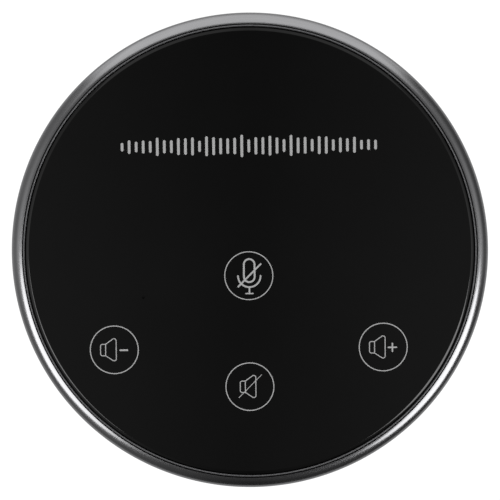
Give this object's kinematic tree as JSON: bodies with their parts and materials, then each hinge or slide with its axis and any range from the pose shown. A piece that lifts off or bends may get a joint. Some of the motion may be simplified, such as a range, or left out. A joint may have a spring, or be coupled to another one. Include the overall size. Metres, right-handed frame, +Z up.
{
  "type": "desktop microphone",
  "caption": "Round, flat desktop conference microphone with a glass touch panel, a metal trim ring, side sound slots and sockets in the rear wall.",
  "frame": {"origin": "centre of the footprint, on the surface the microphone stands on", "axes": "+Z up out of the touch panel, -Y towards the user, +Y towards the sockets, +X to the user's right"},
  "size_m": [0.1, 0.1, 0.025],
  "materials": {
    "touch_panel": "polished, printed opaque black from behind, with pale grey key marks",
    "adhesive_film": "thin foam tape",
    "tray_plastic": "moulded",
    "trim_ring": "turned, satin, gun-metal anodised",
    "base_shell": "fine spark texture",
    "acoustic_mesh": "woven acoustic cloth",
    "foot_ring": "matte, non-slip",
    "label_plate": "satin film, blank",
    "weight_plate": "zinc plated",
    "main_pcb": "solder mask",
    "spring_steel": "plated wire",
    "lamp_resin": "clear resin on white",
    "chip_plastic": "moulded epoxy",
    "metal_can": "drawn can",
    "socket_steel": "bright plated",
    "socket_plastic": "moulded",
    "socket_brass": "bright",
    "boot_rubber": "soft moulded",
    "connector_housing": "natural nylon",
    "lead_insulation": "extruded",
    "screw_steel": "bright zinc"
  },
  "bodies": {
    "root": {"touch_panel": "touch_panel", "panel_adhesive": "adhesive_film", "panel_tray": "tray_plastic", "trim_ring": "trim_ring", "base_shell": "base_shell", "acoustic_mesh": "acoustic_mesh", "foot_ring": "foot_ring", "label_plate": "label_plate", "weight_plate": "weight_plate", "weight_tape": "adhesive_film", "main_pcb": "main_pcb", "touch_spring_mic_mute": "spring_steel", "touch_spring_volume_down": "spring_steel", "touch_spring_volume_up": "spring_steel", "touch_spring_speaker_mute": "spring_steel", "key_light_mic_mute": "lamp_resin", "key_light_volume_down": "lamp_resin", "key_light_volume_up": "lamp_resin", "key_light_speaker_mute": "lamp_resin", "audio_codec_chip": "chip_plastic", "touch_controller_chip": "chip_plastic", "clock_crystal": "metal_can", "filter_capacitor_inner": "metal_can", "filter_capacitor_outer": "metal_can", "usb_socket_shell": "socket_steel", "usb_socket_tongue": "socket_plastic", "headphone_socket_body": "socket_plastic", "headphone_socket_sleeve": "socket_brass", "mic_boot_right": "boot_rubber", "mic_boot_left": "boot_rubber", "mic_boot_front": "boot_rubber", "mic_capsule_right": "metal_can", "mic_capsule_left": "metal_can", "mic_capsule_front": "metal_can", "mic_connector_right": "connector_housing", "mic_connector_left": "connector_housing", "mic_connector_front": "connector_housing", "mic_lead_right": "lead_insulation", "mic_lead_left": "lead_insulation", "mic_lead_front": "lead_insulation", "case_screw_rear_right": "screw_steel", "case_screw_rear_left": "screw_steel", "case_screw_front_left": "screw_steel", "case_screw_front_right": "screw_steel"}
  },
  "joints": []
}
